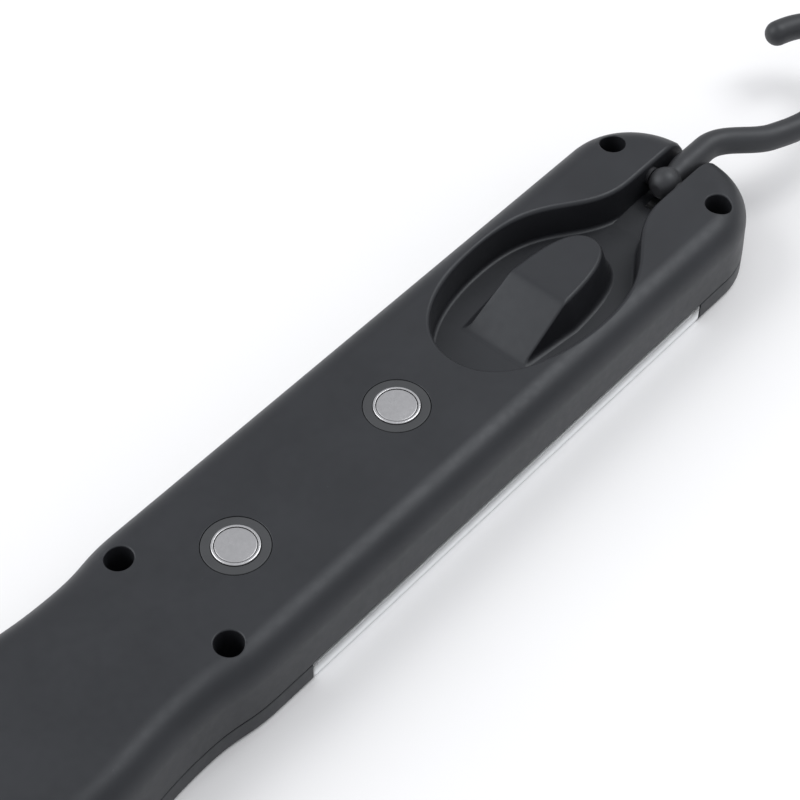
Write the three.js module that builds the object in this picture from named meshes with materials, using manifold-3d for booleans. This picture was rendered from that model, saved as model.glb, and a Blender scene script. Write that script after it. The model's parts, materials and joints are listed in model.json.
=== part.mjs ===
// A slim hand-held LED work light, lying with its lens down.
// Millimetres. +X runs along the body towards the hook, +Z points out of the back.
// The origin is the middle of the body's length and width, on the front face.
import * as THREE from "three";
import { ConvexGeometry } from "three/addons/geometries/ConvexGeometry.js";
import { mergeVertices } from "three/addons/utils/BufferGeometryUtils.js";
import Module from "manifold-3d";

const wasm = await Module();
wasm.setup();

// ---- driving dimensions ----

// Body
const BODY_END = 152.5; // half the body's length
const BODY_HALF_WIDTH = 27.8;
const BODY_HEIGHT = 24.5;
const HEAD_CORNER_R = 23;
const HANDLE_CORNER_R = 22;
const WAIST_HALF_WIDTH = 25.8;
const WAIST_X = -69;
const WAIST_START_X = -47; // where the head's straight side ends
const WAIST_END_X = -101; // where the handle is full width again
const BACK_FILLET = 8;
const FRONT_FILLET = 1.2;
const WALL = 2;

// Parting line between the shells
const FRONT_TOP_Z = 6.05;
const BACK_BOTTOM_Z = 6.35;

// Lens and what lies behind it
const LENS_X = [-35.5, 117.5];
const LENS_WALL = 1.6;
const LENS_FILLET = 1.6;
const FIT_GAP = 0.3;
const DECK_Z = 4.75; // underside of the front shell's deck
const DECK_NECK_INSET = 4; // how far the deck's end necks stop short of its sides
const RIM_WALL = 1.2; // the tray's high rims, which stand beside the deck
const RIM_TOP_Z = 5.85;
const TRAY_WALL = 1.5;
const LED_BOARD_Z = [3.3, 4.6];

// Hook recess in the back, its outline given by half-widths along X
const SLOT_HALF_WIDTH = 4.7;
const NECK_X = 127.5; // the slot starts to widen into the recess here
const NECK_PULL = 19.4;
const LEAF_PULL = 26.2;
const LEAF_WIDE_X = 82.5;
const LEAF_HALF_WIDTH = 20.4;
const LEAF_END_X = 47;
const CROWN_PULL = 20;
const CROWN_FULLNESS = 0.66;
const RECESS_FLOOR_Z = 13.7;
const RECESS_WALL = 1.6;
const SLOT_FLOOR_Z = 14.5;
const SLOT_SILL_Z = 16;
const SLOT_SILL_X = 147;
const SLOT_WALL = 3;
const CHEEK_REACH = 8; // of solid cheek on the handle side of the ball

// Thumb ramp in the middle of the recess
const RAMP_FOOT_X = 63.8;
const RAMP_FOOT_HALF_WIDTH = 9.7;
const RAMP_CREASE_X = 81.5;
const RAMP_TOP_HALF_WIDTH = 9;
const RAMP_TOP_Z = 23.2;
const RAMP_NOSE_X = 104.6; // the tip of its level top
const RAMP_LEAN = 0.3; // how far its sides spread for each unit of depth

// Hook
const BALL_X = 136.5;
const BALL_Z = 20;
const BALL_R = 4.5;
const ROD_R = 3.7;
const NECK_R = 3;
const CUP_R = 3;
const CUP_GAP = 0.15;

// Magnets
const MAGNET_XS = [25.5, -31.7];
const POT_R = 6;
const POT_WALL = 0.7;
const POT_FLOOR = 1;
const MAGNET_HOLDER_R = 8.5;
const MAGNET_TOP_Z = 24.8;
const MAGNET_POCKET_Z = 20.7;

// Case screws: each pair is X, then half the distance between the two
const SCREW_PAIRS = [
  [135.8, 18],
  [-52.5, 18],
  [-136, 17.5],
];
const COUNTERBORE_R = 3.55;
const COUNTERBORE_Z = 10.5;
const TOWER_R = 4.8;
const BOSS_R = 4;
const SCREW_HEAD_R = 2.8;
const SCREW_R = 1.45;

// Power
const CELL_R = 9.2;
const CELL_X = [-141, -76];
const CELL_Z = 12.2;
const BOARD_X = [-73.5, -41];
const BOARD_Z = [8, 9.6];
const BOARD_HALF_WIDTH = 12;
const BUTTON_X = -62;
const BUTTON_R = 6;
const BUTTON_FACE_Z = 0.4;
const SWITCH_Z = [5.6, 7.9];
const INDICATOR_X = -46.5;
const INDICATOR_R = 1.5;
const USB_X = [-71.3, -62.3];
const USB_Z = [9.7, 12.9];
const COVER_X = [-73.7, -60.1];
const COVER_Z = [7.9, 14.7];
const COVER_Y = [WAIST_HALF_WIDTH - 1.05, WAIST_HALF_WIDTH - 0.05];
const COVER_LIP = 0.4; // how far its finger lip stands out
const PLUG_X = [-69.8, -63.8];
const PLUG_Z = [10.5, 12.1];
const PLUG_LENGTH = 2.45;
const WIRE_R = 0.7;
const WIRE_HOLE_X = [-31, -25];
const WIRE_HOLE_HALF = 6;

const CURVE_STEPS = 5;
const ROUND_STEPS = 3;
const RAMP_STEPS = 9;

// ---- materials ----

function surface(color, roughness, metalness) {
  return new THREE.MeshStandardMaterial({ color, roughness, metalness });
}

const blackPlastic = surface(0x3e3f42, 0.55, 0);
const blackRubber = surface(0x26272a, 0.8, 0);
const clearPlastic = surface(0xdfe6ea, 0.08, 0);
clearPlastic.transparent = true;
clearPlastic.opacity = 0.35;
const whitePlastic = surface(0xf1f1ee, 0.4, 0);
const nickel = surface(0xb8babd, 0.28, 1);
const screwSteel = surface(0x4a4b4e, 0.4, 1);
const springSteel = surface(0xc9cbce, 0.3, 1);
const boardAluminium = surface(0xd8d9d6, 0.45, 0.6);
const phosphor = surface(0xe9c94a, 0.6, 0);
const boardGreen = surface(0x1f5a3a, 0.5, 0);
const cellWrap = surface(0x2b6fa8, 0.35, 0.1);
const socketSteel = surface(0xb4b6b8, 0.3, 1);
const redInsulation = surface(0xb32020, 0.5, 0);
const blackInsulation = surface(0x1c1c1e, 0.5, 0);

// ---- solids ----

// A closed three.js geometry as a manifold-3d solid.
function solid(geometry) {
  const bare = geometry.clone();
  bare.deleteAttribute("normal");
  bare.deleteAttribute("uv");
  const merged = mergeVertices(bare, 1e-4);
  return new wasm.Manifold(
    new wasm.Mesh({
      numProp: 3,
      vertProperties: new Float32Array(merged.attributes.position.array),
      triVerts: new Uint32Array(merged.index.array),
    }),
  );
}

// A manifold-3d solid as a three.js geometry.
function geometryOf(made) {
  const mesh = made.getMesh();
  const points = new Float32Array(mesh.numVert * 3);
  for (let i = 0; i < mesh.numVert; i++) {
    points.set(mesh.vertProperties.subarray(i * mesh.numProp, i * mesh.numProp + 3), i * 3);
  }
  const geometry = new THREE.BufferGeometry();
  geometry.setAttribute("position", new THREE.BufferAttribute(points, 3));
  geometry.setIndex(new THREE.BufferAttribute(new Uint32Array(mesh.triVerts), 1));
  geometry.computeVertexNormals();
  return geometry;
}

// The outline as straight steps, with no point twice.
function stepped(shape, curveSegments) {
  const apart = (a, b) => a.distanceTo(b) > 1e-3;
  const points = shape.getPoints(curveSegments);
  const kept = points.filter((point, i) => apart(point, points.at(i - 1)));
  return new THREE.Shape(kept);
}

// A straight-sided solid standing on an outline in X and Y.
function prism(shape, z0, z1, curveSegments = CURVE_STEPS) {
  const options = { depth: z1 - z0, bevelEnabled: false };
  return solid(new THREE.ExtrudeGeometry(stepped(shape, curveSegments), options).translate(0, 0, z0));
}

// A solid on an outline whose lower and upper edges are rounded.
function roundedPrism(shape, z0, z1, radius) {
  const options = {
    depth: z1 - z0 - 2 * radius,
    bevelThickness: radius,
    bevelSize: radius,
    bevelOffset: -radius,
    bevelSegments: ROUND_STEPS,
  };
  const flat = stepped(shape, CURVE_STEPS);
  return solid(new THREE.ExtrudeGeometry(flat, options).translate(0, 0, z0 + radius));
}

function block([x0, x1], [y0, y1], [z0, z1]) {
  const box = new THREE.BoxGeometry(x1 - x0, y1 - y0, z1 - z0);
  return solid(box.translate((x0 + x1) / 2, (y0 + y1) / 2, (z0 + z1) / 2));
}

// An upright cylinder.
function drum(radius, z0, z1, x = 0, y = 0, sides = 24) {
  const cylinder = new THREE.CylinderGeometry(radius, radius, z1 - z0, sides).rotateX(Math.PI / 2);
  return solid(cylinder.translate(x, y, (z0 + z1) / 2));
}

// A solid turned about the Z axis from its profile of radius and height.
function turned(profile, sides = 24) {
  const points = profile.map(([radius, height]) => new THREE.Vector2(radius, height));
  return solid(new THREE.LatheGeometry(points, sides).rotateX(Math.PI / 2));
}

// A round bar along a curve.
function bar(curve, radius, steps, sides) {
  const section = new THREE.Shape();
  for (let i = 0; i < sides; i++) {
    const angle = (i / sides) * 2 * Math.PI;
    const point = [radius * Math.cos(angle), radius * Math.sin(angle)];
    if (i === 0) section.moveTo(...point);
    else section.lineTo(...point);
  }
  section.closePath();
  const options = { steps, bevelEnabled: false, extrudePath: curve };
  return solid(new THREE.ExtrudeGeometry(section, options));
}

function join(...solids) {
  return solids.reduce((all, next) => all.add(next));
}

function cut(from, ...tools) {
  return tools.reduce((left, tool) => left.subtract(tool), from);
}

function piece(name, made, material) {
  const mesh = new THREE.Mesh(geometryOf(made), material);
  mesh.name = name;
  return mesh;
}

// ---- outlines ----

// The body seen from above, drawn in by the given amount.
function bodyOutline(inset) {
  const half = BODY_HALF_WIDTH - inset;
  const waist = WAIST_HALF_WIDTH - inset;
  const headR = HEAD_CORNER_R - inset;
  const handleR = HANDLE_CORNER_R - inset;
  const headX = BODY_END - HEAD_CORNER_R;
  const handleX = -BODY_END + HANDLE_CORNER_R;
  const headY = BODY_HALF_WIDTH - HEAD_CORNER_R;
  const handleY = BODY_HALF_WIDTH - HANDLE_CORNER_R;
  const easeIn = (WAIST_START_X - WAIST_X) / 2;
  const easeOut = (WAIST_X - WAIST_END_X) / 2;
  const shape = new THREE.Shape();
  shape.moveTo(headX, -half);
  shape.absarc(headX, -headY, headR, -Math.PI / 2, 0, false);
  shape.absarc(headX, headY, headR, 0, Math.PI / 2, false);
  shape.lineTo(WAIST_START_X, half);
  shape.bezierCurveTo(WAIST_START_X - easeIn, half, WAIST_X + easeIn, waist, WAIST_X, waist);
  shape.bezierCurveTo(WAIST_X - easeOut, waist, WAIST_END_X + easeOut, half, WAIST_END_X, half);
  shape.absarc(handleX, handleY, handleR, Math.PI / 2, Math.PI, false);
  shape.absarc(handleX, -handleY, handleR, Math.PI, 1.5 * Math.PI, false);
  shape.lineTo(WAIST_END_X, -half);
  shape.bezierCurveTo(WAIST_END_X + easeOut, -half, WAIST_X - easeOut, -waist, WAIST_X, -waist);
  shape.bezierCurveTo(WAIST_X + easeIn, -waist, WAIST_START_X - easeIn, -half, WAIST_START_X, -half);
  shape.closePath();
  return shape;
}

// The hook recess: a slot that opens through an ogee neck into a leaf. grow widens it all round.
function recessOutline(grow, slotEndX) {
  const slot = SLOT_HALF_WIDTH + grow;
  const leaf = LEAF_HALF_WIDTH + grow;
  const end = LEAF_END_X - grow;
  const shape = new THREE.Shape();
  shape.moveTo(slotEndX, -slot);
  shape.lineTo(slotEndX, slot);
  shape.lineTo(NECK_X, slot);
  shape.bezierCurveTo(NECK_X - NECK_PULL, slot, LEAF_WIDE_X + LEAF_PULL, leaf, LEAF_WIDE_X, leaf);
  shape.bezierCurveTo(LEAF_WIDE_X - CROWN_PULL, leaf, end, CROWN_FULLNESS * leaf, end, 0);
  shape.bezierCurveTo(end, -CROWN_FULLNESS * leaf, LEAF_WIDE_X - CROWN_PULL, -leaf, LEAF_WIDE_X, -leaf);
  shape.bezierCurveTo(LEAF_WIDE_X + LEAF_PULL, -leaf, NECK_X - NECK_PULL, -slot, NECK_X, -slot);
  shape.closePath();
  return shape;
}

// ---- back shell ----

// The thumb ramp: a slope up to a crease, then a level top with a rounded nose. Its sides lean outwards.
function thumbRamp() {
  const start = new THREE.Vector2(RAMP_CREASE_X, RAMP_TOP_HALF_WIDTH);
  const tip = new THREE.Vector2(RAMP_NOSE_X, 0);
  const pulls = [new THREE.Vector2(RAMP_CREASE_X + 9, 8.5), new THREE.Vector2(RAMP_NOSE_X, 7.8)];
  const nose = new THREE.CubicBezierCurve(start, ...pulls, tip);
  const spread = (RAMP_TOP_Z - RECESS_FLOOR_Z) * RAMP_LEAN;
  const points = [];
  const addPair = (x, y, z) => points.push(new THREE.Vector3(x, y, z), new THREE.Vector3(x, -y, z));
  for (let i = 0; i <= RAMP_STEPS; i++) {
    const top = nose.getPoint(i / RAMP_STEPS);
    const along = nose.getTangent(i / RAMP_STEPS);
    addPair(top.x, top.y, RAMP_TOP_Z);
    for (const z of [RECESS_FLOOR_Z, RECESS_FLOOR_Z - 1]) {
      addPair(top.x - along.y * spread, top.y + along.x * spread, z);
    }
  }
  addPair(RAMP_FOOT_X, RAMP_FOOT_HALF_WIDTH, RECESS_FLOOR_Z);
  addPair(RAMP_FOOT_X, RAMP_FOOT_HALF_WIDTH, RECESS_FLOOR_Z - 1);
  return solid(new ConvexGeometry(points));
}

// Both screws of each pair, as a list of X and Y.
function screwPlaces() {
  return SCREW_PAIRS.flatMap(([x, y]) => [
    [x, y],
    [x, -y],
  ]);
}

// Inside the back shell: its ceiling, the pan under the recess, the slot's cheeks and the screw towers.
function backShellBody() {
  const below = BACK_BOTTOM_Z - 20;
  const outer = roundedPrism(bodyOutline(0), below, BODY_HEIGHT, BACK_FILLET);
  const cavity = roundedPrism(bodyOutline(WALL), below, BODY_HEIGHT - WALL, BACK_FILLET - WALL);
  const pan = prism(recessOutline(RECESS_WALL, BODY_END - 1), RECESS_FLOOR_Z - RECESS_WALL, BODY_HEIGHT);
  const cheekX = [BALL_X - CHEEK_REACH, BODY_END - 1];
  const cheekY = SLOT_HALF_WIDTH + SLOT_WALL;
  const cheeks = block(cheekX, [-cheekY, cheekY], [SLOT_FLOOR_Z - RECESS_WALL, BODY_HEIGHT]);
  const towers = screwPlaces().map(([x, y]) => drum(TOWER_R, BACK_BOTTOM_Z, BODY_HEIGHT, x, y, 16));
  const inside = join(pan, cheeks, ...towers).intersect(outer);
  const underside = block([-200, 200], [-100, 100], [below - 1, BACK_BOTTOM_Z]);
  return cut(outer.subtract(cavity).add(inside), underside);
}

// What is cut out of the slot: its run, the sill under the hook and the ball cups' seats.
function slotCuts() {
  const width = [-SLOT_HALF_WIDTH, SLOT_HALF_WIDTH];
  const high = BODY_HEIGHT + 1;
  const run = block([NECK_X - 1, SLOT_SILL_X], width, [SLOT_FLOOR_Z, high]);
  const mouth = block([SLOT_SILL_X - 1, BODY_END + 1], width, [SLOT_SILL_Z, high]);
  const seatY = SLOT_HALF_WIDTH + 1.7;
  const seat = new THREE.CylinderGeometry(CUP_R + FIT_GAP, CUP_R + FIT_GAP, 2 * seatY, 20);
  return join(run, mouth, solid(seat.translate(BALL_X, 0, BALL_Z)));
}

function screwCuts() {
  const places = screwPlaces();
  const bores = places.map(([x, y]) => drum(COUNTERBORE_R, COUNTERBORE_Z, BODY_HEIGHT + 1, x, y, 16));
  const holes = places.map(([x, y]) => drum(SCREW_R + 0.25, 0, COUNTERBORE_Z + 1, x, y, 8));
  return join(...bores, ...holes);
}

// The charging socket's opening through the side wall, and the pocket its cover lies in.
function usbCuts() {
  const gap = FIT_GAP;
  const pocketX = [COVER_X[0] - 0.6, COVER_X[1] + gap];
  const pocketZ = [COVER_Z[0] - gap, COVER_Z[1] + gap];
  const pocket = block(pocketX, [COVER_Y[0] - 0.15, BODY_HALF_WIDTH], pocketZ);
  const openX = [USB_X[0] - gap, USB_X[1] + gap];
  const openZ = [USB_Z[0] - gap, USB_Z[1] + gap];
  const opening = block(openX, [WAIST_HALF_WIDTH - WALL - 2, BODY_HALF_WIDTH], openZ);
  return join(pocket, opening);
}

// The rabbet in the rim that holds the seal.
function sealGroove() {
  return prism(bodyOutline(0.8), BACK_BOTTOM_Z - 1, BACK_BOTTOM_Z + 0.85).subtract(
    prism(bodyOutline(WALL + 1), BACK_BOTTOM_Z - 2, BACK_BOTTOM_Z + 2),
  );
}

function backShell() {
  const recess = prism(recessOutline(0, NECK_X + 1), RECESS_FLOOR_Z, BODY_HEIGHT + 1, 8);
  const holderHoles = MAGNET_XS.map((x) => drum(MAGNET_HOLDER_R + 0.1, 20, BODY_HEIGHT + 1, x));
  const opened = cut(backShellBody(), recess, slotCuts(), usbCuts(), ...holderHoles);
  return piece("back_shell", cut(opened.add(thumbRamp()), sealGroove(), screwCuts()), blackPlastic);
}

// ---- front shell and seal ----

function frontShell() {
  const outer = roundedPrism(bodyOutline(0), 0, 20, FRONT_FILLET);
  const above = block([-200, 200], [-100, 100], [FRONT_TOP_Z, 30]);
  const hollow = prism(bodyOutline(WALL), WALL - 0.2, 25);
  const lensBay = block([LENS_X[0] - FIT_GAP, LENS_X[1] + FIT_GAP], [-40, 40], [-1, FRONT_TOP_Z + 1]);
  const deckHalf = BODY_HALF_WIDTH - LENS_WALL - FIT_GAP - RIM_WALL - FIT_GAP;
  const bulkhead = 2;
  const deckX = [LENS_X[0] - FIT_GAP - bulkhead, LENS_X[1] + FIT_GAP + bulkhead];
  const deckEnds = deckX.map((x, i) => [x, x + (i ? -bulkhead : bulkhead)].sort((a, b) => a - b));
  const walls = deckEnds.map((x) => block(x, [-deckHalf, deckHalf], [0.5, FRONT_TOP_Z]));
  // The deck lies inside the lens's end walls, which hang from it by two short necks at each end.
  const innerX = [LENS_X[0] + LENS_WALL + FIT_GAP, LENS_X[1] - LENS_WALL - FIT_GAP];
  const deck = block(innerX, [-deckHalf, deckHalf], [DECK_Z, FRONT_TOP_Z]);
  const neckHalf = deckHalf - DECK_NECK_INSET;
  const necks = block(deckX, [-neckHalf, neckHalf], [FRONT_TOP_Z - 0.9, FRONT_TOP_Z]);
  const wireHole = block(WIRE_HOLE_X, [-WIRE_HOLE_HALF, WIRE_HOLE_HALF], [0, FRONT_TOP_Z + 1]);
  const bosses = screwPlaces().map(([x, y]) => drum(BOSS_R, 1, FRONT_TOP_Z, x, y, 12));
  const pilots = screwPlaces().map(([x, y]) => drum(SCREW_R + 0.25, 2, FRONT_TOP_Z + 1, x, y, 8));
  const button = drum(BUTTON_R + FIT_GAP, -1, 4, BUTTON_X, 0);
  const light = drum(INDICATOR_R + 0.2, -1, 4, INDICATOR_X, 0, 12);
  const ends = cut(outer, above, hollow, lensBay);
  const made = cut(join(ends, ...walls, deck, necks, ...bosses), wireHole, ...pilots, button, light);
  return piece("front_shell", made, blackPlastic);
}

function caseGasket() {
  const ring = prism(bodyOutline(0.95), FRONT_TOP_Z + 0.05, BACK_BOTTOM_Z + 0.7, 4).subtract(
    prism(bodyOutline(1.85), 0, 20, 4),
  );
  return piece("case_gasket", ring, blackRubber);
}

// ---- lens and light ----

function lens() {
  const [x0, x1] = LENS_X;
  const y = BODY_HALF_WIDTH;
  const plan = new THREE.Shape();
  plan.moveTo(x0, -y);
  plan.lineTo(x1, -y);
  plan.lineTo(x1, y);
  plan.lineTo(x0, y);
  plan.closePath();
  const outer = roundedPrism(plan, 0, 20, LENS_FILLET);
  const above = block([x0 - 1, x1 + 1], [-y - 1, y + 1], [FRONT_TOP_Z, 30]);
  const innerX = [x0 + LENS_WALL, x1 - LENS_WALL];
  const inside = block(innerX, [-y + LENS_WALL, y - LENS_WALL], [LENS_WALL, 30]);
  const neckHalf = y - LENS_WALL - RIM_WALL - FIT_GAP - DECK_NECK_INSET;
  const neckGap = block([x0 - 1, x1 + 1], [-neckHalf, neckHalf], [FRONT_TOP_Z - 1.2, 30]);
  return piece("lens", cut(outer, above, inside, neckGap), clearPlastic);
}

// A frame round the LED board, with a sloping lip that throws the light forwards and two high rims.
function reflectorTray() {
  const gap = LENS_WALL + FIT_GAP;
  const x = [LENS_X[0] + gap, LENS_X[1] - gap];
  const y = [-BODY_HALF_WIDTH + gap, BODY_HALF_WIDTH - gap];
  const shrink = (range, by) => [range[0] + by, range[1] - by];
  const frame = block(x, y, [LENS_WALL + 0.2, LED_BOARD_Z[1]]);
  const rims = y.map((edge) => {
    const inner = edge - Math.sign(edge) * RIM_WALL;
    return block(x, [edge, inner].sort((a, b) => a - b), [LED_BOARD_Z[0], RIM_TOP_Z]);
  });
  const seat = block(shrink(x, TRAY_WALL), shrink(y, TRAY_WALL), [LED_BOARD_Z[0] - 0.2, 10]);
  const slopes = [0, 1, 2].map((i) => {
    const by = TRAY_WALL + 0.7 + 1.2 * i;
    return block(shrink(x, by), shrink(y, by), [-1, LENS_WALL + 0.2 + 0.5 * (3 - i)]);
  });
  const window = block(shrink(x, TRAY_WALL + 4), shrink(y, TRAY_WALL + 4), [-1, 10]);
  return piece("reflector_tray", join(cut(frame, seat, window, ...slopes), ...rims), whitePlastic);
}

function ledBoard() {
  const gap = LENS_WALL + FIT_GAP + TRAY_WALL + FIT_GAP;
  const x = [LENS_X[0] + gap, LENS_X[1] - gap];
  const y = BODY_HALF_WIDTH - gap;
  return piece("led_board", block(x, [-y, y], LED_BOARD_Z), boardAluminium);
}

// Two long strips of phosphor-covered LEDs on the board's face.
function cobStrips() {
  const half = 6;
  const centre = 9.5;
  const x = [LENS_X[0] + 14, LENS_X[1] - 14];
  const z = [LED_BOARD_Z[0] - 0.75, LED_BOARD_Z[0] - 0.05];
  return [centre, -centre].map((y, i) =>
    piece("cob_strip_" + (i + 1), block(x, [y - half, y + half], z), phosphor),
  );
}

// ---- magnets ----

function magnetHolder(number, x) {
  const z = [MAGNET_POCKET_Z - 1.6, BODY_HEIGHT];
  const cup = join(drum(MAGNET_HOLDER_R, ...z), drum(10, 20.1, 22.3));
  const pocket = drum(POT_R + 0.1, MAGNET_POCKET_Z, BODY_HEIGHT + 1);
  const mesh = piece("magnet_holder_" + number, cut(cup, pocket), blackPlastic);
  mesh.position.x = x;
  return mesh;
}

// A steel pot round each magnet, open towards the back.
function magnetPot(number, x) {
  const bottom = MAGNET_POCKET_Z + 0.1;
  const inner = POT_R - POT_WALL;
  const pot = turned([
    [0, bottom],
    [POT_R, bottom],
    [POT_R, MAGNET_TOP_Z - 0.25],
    [POT_R - 0.25, MAGNET_TOP_Z],
    [inner, MAGNET_TOP_Z],
    [inner, bottom + POT_FLOOR],
    [0, bottom + POT_FLOOR],
  ]);
  const mesh = piece("magnet_pot_" + number, pot, nickel);
  mesh.position.x = x;
  return mesh;
}

function magnet(number, x) {
  const radius = POT_R - POT_WALL - 0.15;
  const disc = drum(radius, MAGNET_POCKET_Z + POT_FLOOR + 0.2, MAGNET_TOP_Z);
  const mesh = piece("magnet_" + number, disc, nickel);
  mesh.position.x = x;
  return mesh;
}

// ---- screws ----

function caseScrew(number, x, y) {
  const seat = COUNTERBORE_Z + 0.05;
  const shank = turned(
    [
      [0, 2.2],
      [0.7, 2.2],
      [SCREW_R, 3.4],
      [SCREW_R, seat],
      [SCREW_HEAD_R, seat],
      [SCREW_HEAD_R, seat + 1.2],
      [SCREW_HEAD_R - 0.7, seat + 2],
      [0, seat + 2],
    ],
    12,
  );
  const arm = [-1.6, 1.6];
  const across = [-0.35, 0.35];
  const depth = [seat + 1, seat + 3];
  const cross = join(block(arm, across, depth), block(across, arm, depth));
  const mesh = piece("case_screw_" + number, cut(shank, cross), screwSteel);
  mesh.position.set(x, y, 0);
  return mesh;
}

// ---- power ----

function batteryCell() {
  const length = CELL_X[1] - CELL_X[0];
  const can = turned(
    [
      [0, 0],
      [CELL_R - 0.4, 0],
      [CELL_R, 0.5],
      [CELL_R, length - 2.4],
      [CELL_R - 0.6, length - 1.6],
      [2.8, length - 1.6],
      [2.8, length],
      [0, length],
    ],
    24,
  );
  const mesh = piece("battery_cell", can, cellWrap);
  mesh.position.set(CELL_X[0], 0, CELL_Z);
  mesh.rotation.y = Math.PI / 2;
  return mesh;
}

function batteryCradle() {
  const tray = block([CELL_X[0] + 3, CELL_X[1] - 4], [-10.5, 10.5], [WALL, 9]);
  const bed = new THREE.CylinderGeometry(CELL_R + FIT_GAP, CELL_R + FIT_GAP, 100, 32).rotateZ(Math.PI / 2);
  const middle = (CELL_X[0] + CELL_X[1]) / 2;
  const mesh = piece("battery_cradle", cut(tray, solid(bed.translate(middle, 0, CELL_Z))), blackPlastic);
  return mesh;
}

// A nickel strip on each end of the cell.
function batteryTabs() {
  const thick = 0.3;
  const places = [
    ["battery_tab_positive", CELL_X[1] + FIT_GAP],
    ["battery_tab_negative", CELL_X[0] - FIT_GAP - thick],
  ];
  return places.map(([name, x]) => piece(name, block([x, x + thick], [-4, 4], [9, 16]), nickel));
}

function controlBoard() {
  const main = block(BOARD_X, [-BOARD_HALF_WIDTH, BOARD_HALF_WIDTH], BOARD_Z);
  const ear = block([BOARD_X[0], USB_X[1] + 1.5], [BOARD_HALF_WIDTH - 1, 20.5], BOARD_Z);
  return piece("control_board", main.add(ear), boardGreen);
}

function tactSwitch() {
  const body = block([BUTTON_X - 3, BUTTON_X + 3], [-3, 3], SWITCH_Z);
  const well = drum(1.8, SWITCH_Z[0] - 1, SWITCH_Z[1] - 0.4, BUTTON_X, 0, 12);
  return piece("tact_switch", cut(body, well), blackRubber);
}

// The cap with the flange that keeps it in the shell, and the stem that reaches the switch.
function powerButton() {
  const cap = turned(
    [
      [0, BUTTON_FACE_Z + 0.3],
      [3.6, BUTTON_FACE_Z + 0.2],
      [BUTTON_R - 0.5, BUTTON_FACE_Z],
      [BUTTON_R, BUTTON_FACE_Z + 0.4],
      [BUTTON_R, WALL],
      [BUTTON_R + 1, WALL],
      [BUTTON_R + 1, WALL + 0.7],
      [2, WALL + 0.7],
      [2, 4],
      [0, 4],
    ],
    20,
  );
  const mesh = piece("power_button", cap, blackRubber);
  mesh.position.x = BUTTON_X;
  return mesh;
}

function switchPlunger() {
  return piece("switch_plunger", drum(1.5, 4.05, 6.2, BUTTON_X, 0, 12), springSteel);
}

function indicatorLightPipe() {
  const pipe = join(
    drum(INDICATOR_R, 0.2, BOARD_Z[0] - 0.2, INDICATOR_X, 0, 12),
    drum(INDICATOR_R + 1, 2, 3, INDICATOR_X, 0, 12),
  );
  return piece("indicator_light_pipe", pipe, clearPlastic);
}

function usbSocket() {
  const skin = 0.4;
  const y = [16.3, WAIST_HALF_WIDTH - 1.35];
  const shell = block(USB_X, y, USB_Z);
  const innerX = [USB_X[0] + skin, USB_X[1] - skin];
  const mouth = block(innerX, [y[0] + skin, y[1] + 1], [USB_Z[0] + skin, USB_Z[1] - skin]);
  return piece("usb_socket", cut(shell, mouth), socketSteel);
}

// A rubber flap with a plug on its back that fills the socket's mouth.
function usbCover() {
  const plate = block(COVER_X, COVER_Y, COVER_Z);
  const plug = block(PLUG_X, [COVER_Y[0] - PLUG_LENGTH, COVER_Y[0] + 0.5], PLUG_Z);
  const lipX = [COVER_X[1] - 1.6, COVER_X[1] - 0.6];
  const lip = block(lipX, [COVER_Y[1] - 0.5, COVER_Y[1] + COVER_LIP], [PLUG_Z[0] - 1, PLUG_Z[1] + 1]);
  return piece("usb_cover", join(plate, plug, lip), blackRubber);
}

// ---- wires ----

function wire(name, points, material) {
  const curve = new THREE.CatmullRomCurve3(points.map((point) => new THREE.Vector3(...point)));
  return piece(name, bar(curve, WIRE_R, 3 * points.length, 6), material);
}

function wires() {
  const red = [
    [-75, 2, 14],
    [-73, 2, 13.6],
    [-71.2, 2, 11.8],
    [-70.8, 2, 10],
  ];
  const black = [
    [-142.1, -2, 12],
    [-143.6, -5.5, 12],
    [-142.4, -9.8, 10.8],
    [-138, -11.3, 10.6],
    [-120, -11.4, 10.6],
    [-84, -11.4, 10.6],
    [-76, -10, 11.6],
    [-71.5, -7, 11.8],
    [-70.4, -6, 10],
  ];
  const ledRun = (y) => [
    [-42.6, y, 10],
    [-40.4, y, 12],
    [-36.5, y, 11.4],
    [-30, y, 8.6],
    [-28, y, 4.9],
  ];
  return [
    wire("battery_wire_red", red, redInsulation),
    wire("battery_wire_black", black, blackInsulation),
    wire("led_wire_red", ledRun(3), redInsulation),
    wire("led_wire_black", ledRun(-3), blackInsulation),
  ];
}

// ---- hook ----

// The hook's centre line from its ball: out along X, round the leaf, and past the crown to an open end.
function hookPath() {
  const side = 16;
  const wide = BALL_X - LEAF_WIDE_X;
  const crown = BALL_X - LEAF_END_X - 4.8;
  const at = (x, y) => new THREE.Vector3(x, y, 0);
  const path = new THREE.CurvePath();
  path.add(new THREE.LineCurve3(at(6, 0), at(18, 0)));
  path.add(new THREE.CubicBezierCurve3(at(18, 0), at(25.5, 0), at(28.5, -8.4), at(34.5, -11.2)));
  path.add(new THREE.CubicBezierCurve3(at(34.5, -11.2), at(40, -13.7), at(wide - 9, -side), at(wide, -side)));
  path.add(new THREE.CubicBezierCurve3(at(wide, -side), at(wide + 16, -side), at(crown, -11.4), at(crown, 0)));
  path.add(new THREE.CubicBezierCurve3(at(crown, 0), at(crown, 6.6), at(79.5, 11), at(72, 13.1)));
  return path;
}

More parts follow.
